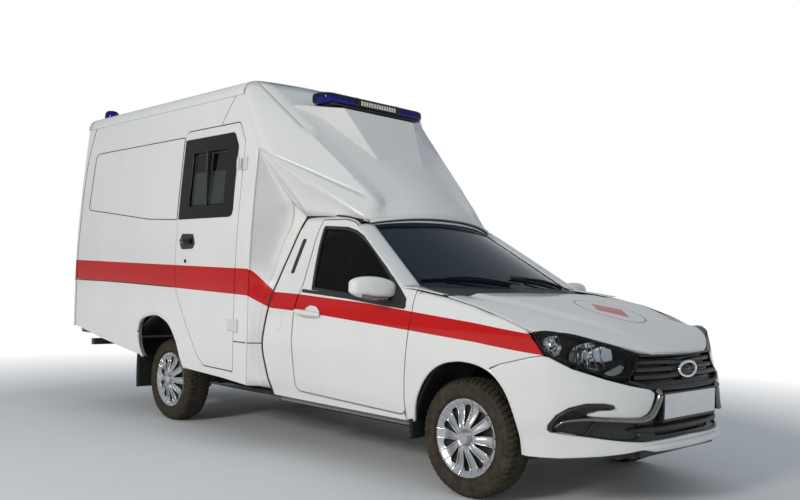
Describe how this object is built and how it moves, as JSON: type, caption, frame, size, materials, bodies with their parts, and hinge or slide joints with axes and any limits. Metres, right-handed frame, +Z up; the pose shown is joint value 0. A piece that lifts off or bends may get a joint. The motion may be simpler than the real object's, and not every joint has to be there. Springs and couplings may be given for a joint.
{
  "type": "pickup-based ambulance",
  "caption": "Pickup-based ambulance with a low cab, a moulded medical body with side and rear doors, and a roof light bar.",
  "frame": {"origin": "on the ground under the middle of the vehicle's box", "axes": "+X forward, +Y to the vehicle's left, +Z up"},
  "size_m": [5.175, 2.11, 2.5027],
  "materials": {
    "paint": "glossy white enamel with a red stripe",
    "bumper": "glossy white painted plastic",
    "shell": "glossy white gelcoat with a red stripe",
    "chassis": "satin black",
    "cast": "rough",
    "exhaust": "dull",
    "black_plastic": "grained",
    "interior": "grained",
    "fabric": "woven",
    "glass": "tinted",
    "lamp": "clear lens",
    "plate": "blank",
    "floor": "non-slip",
    "red_lamp": "clear red",
    "blue_lamp": "clear blue",
    "rubber": "dull",
    "tyre": "dull",
    "wheel": "silver cover"
  },
  "bodies": {
    "root": {"chassis_frame": "chassis", "front_suspension": "chassis", "rear_axle": "chassis", "engine_block": "cast", "fuel_tank": "black_plastic", "exhaust": "exhaust", "cab_floor": "paint", "firewall": "paint", "dashboard": "interior", "cab_side_right": "paint", "cab_side_left": "paint", "cab_roof": "paint", "cab_rear_wall": "paint", "seats": "fabric", "steering_column": "interior", "windshield": "glass", "fender_right": "paint", "fender_left": "paint", "front_bumper": "bumper", "grille": "black_plastic", "headlights": "lamp", "number_plates": "plate", "body_floor": "floor", "body_side_right": "shell", "body_side_left": "shell", "body_roof": "shell", "roof_fairing": "shell", "body_front_wall": "shell", "rear_frame": "shell", "tail_lights": "red_lamp", "mudflaps": "rubber", "light_bar": "blue_lamp", "rear_beacon": "blue_lamp"},
    "hood": {"hood": "paint"},
    "cab_door_right": {"cab_door_right": "paint", "cab_door_glass_right": "glass"},
    "cab_door_left": {"cab_door_left": "paint", "cab_door_glass_left": "glass"},
    "side_door": {"side_door": "shell", "side_door_glass": "glass"},
    "rear_door_right": {"rear_door_right": "shell"},
    "rear_door_left": {"rear_door_left": "shell"},
    "knuckle_right": {"knuckle_right": "chassis"},
    "knuckle_left": {"knuckle_left": "chassis"},
    "front_wheel_right": {"front_wheel_right": "wheel", "front_tyre_right": "tyre"},
    "front_wheel_left": {"front_wheel_left": "wheel", "front_tyre_left": "tyre"},
    "rear_wheel_right": {"rear_wheel_right": "wheel", "rear_tyre_right": "tyre"},
    "rear_wheel_left": {"rear_wheel_left": "wheel", "rear_tyre_left": "tyre"},
    "steering_wheel": {"steering_wheel": "interior"},
    "fuel_flap": {"fuel_flap": "paint"}
  },
  "joints": [
    {"name": "steer_right", "type": "hinge", "parent": "root", "child": "knuckle_right", "pos_m": [1.7725, -0.6555, 0.3], "axis": [0, 0, 1], "range_deg": [-33, 33]},
    {"name": "steer_left", "type": "hinge", "parent": "root", "child": "knuckle_left", "pos_m": [1.7725, 0.6555, 0.3], "axis": [0, 0, 1], "range_deg": [-33, 33]},
    {"name": "steering_wheel_turn", "type": "hinge", "parent": "root", "child": "steering_wheel", "pos_m": [0.9375, 0.37, 0.96], "axis": [-0.8988, 0, 0.4384], "range_deg": [-500, 500]},
    {"name": "front_right_spin", "type": "hinge", "parent": "knuckle_right", "child": "front_wheel_right", "pos_m": [1.7725, -0.7075, 0.3], "axis": [0, 1, 0], "continuous": true},
    {"name": "front_left_spin", "type": "hinge", "parent": "knuckle_left", "child": "front_wheel_left", "pos_m": [1.7725, 0.7075, 0.3], "axis": [0, 1, 0], "continuous": true},
    {"name": "rear_right_spin", "type": "hinge", "parent": "root", "child": "rear_wheel_right", "pos_m": [-1.1425, -0.7185, 0.3], "axis": [0, 1, 0], "continuous": true},
    {"name": "rear_left_spin", "type": "hinge", "parent": "root", "child": "rear_wheel_left", "pos_m": [-1.1425, 0.7185, 0.3], "axis": [0, 1, 0], "continuous": true},
    {"name": "hood_lift", "type": "hinge", "parent": "root", "child": "hood", "pos_m": [1.6205, 0, 1.01], "axis": [0, -1, 0], "range_deg": [0, 50]},
    {"name": "cab_door_right_swing", "type": "hinge", "parent": "root", "child": "cab_door_right", "pos_m": [1.4235, -0.856, 0.7], "axis": [0, 0, 1], "range_deg": [0, 65]},
    {"name": "cab_door_left_swing", "type": "hinge", "parent": "root", "child": "cab_door_left", "pos_m": [1.4235, 0.856, 0.7], "axis": [0, 0, -1], "range_deg": [0, 65]},
    {"name": "side_door_swing", "type": "hinge", "parent": "root", "child": "side_door", "pos_m": [-0.1205, -0.939, 1.3], "axis": [0, 0, 1], "range_deg": [0, 90]},
    {"name": "rear_door_right_swing", "type": "hinge", "parent": "root", "child": "rear_door_right", "pos_m": [-2.5795, -0.784, 1.4], "axis": [0, 0, 1], "range_deg": [0, 170]},
    {"name": "rear_door_left_swing", "type": "hinge", "parent": "root", "child": "rear_door_left", "pos_m": [-2.5795, 0.784, 1.4], "axis": [0, 0, -1], "range_deg": [0, 170]},
    {"name": "fuel_flap_swing", "type": "hinge", "parent": "root", "child": "fuel_flap", "pos_m": [0.2875, -0.852, 0.815], "axis": [0, 0, 1], "range_deg": [0, 100]}
  ],
  "couplings": [
    {"joint": "steer_left", "follows": "steer_right", "ratio": 1},
    {"joint": "steering_wheel_turn", "follows": "steer_right", "ratio": 15}
  ]
}
